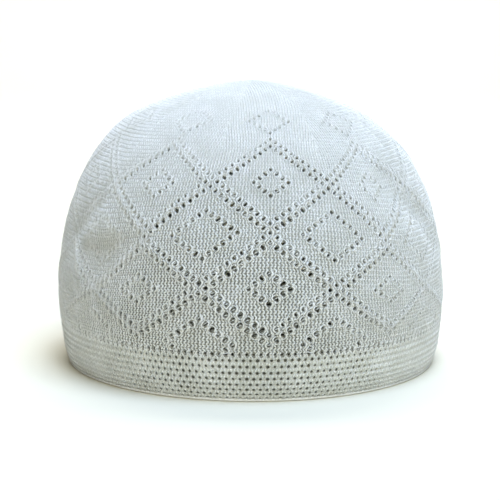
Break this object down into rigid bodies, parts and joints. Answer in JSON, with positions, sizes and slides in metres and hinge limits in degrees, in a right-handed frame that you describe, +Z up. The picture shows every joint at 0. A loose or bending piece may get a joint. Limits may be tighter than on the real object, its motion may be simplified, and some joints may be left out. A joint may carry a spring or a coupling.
{
  "type": "prayer cap",
  "caption": "White machine-knit prayer cap: a soft openwork dome with a diamond lattice on a doubled eyelet hem.",
  "frame": {"origin": "middle of the cap's oval rim, on the surface that the cap stands on", "axes": "+Z up, +Y from the front to the back along the long way of the oval rim, +X to the viewer's right when the front is seen"},
  "size_m": [0.1741, 0.1948, 0.126],
  "materials": {
    "crown_knit": "matte knitted cotton",
    "band_knit": "matte knitted cotton"
  },
  "bodies": {
    "root": {"crown": "crown_knit", "band": "band_knit"}
  },
  "joints": []
}
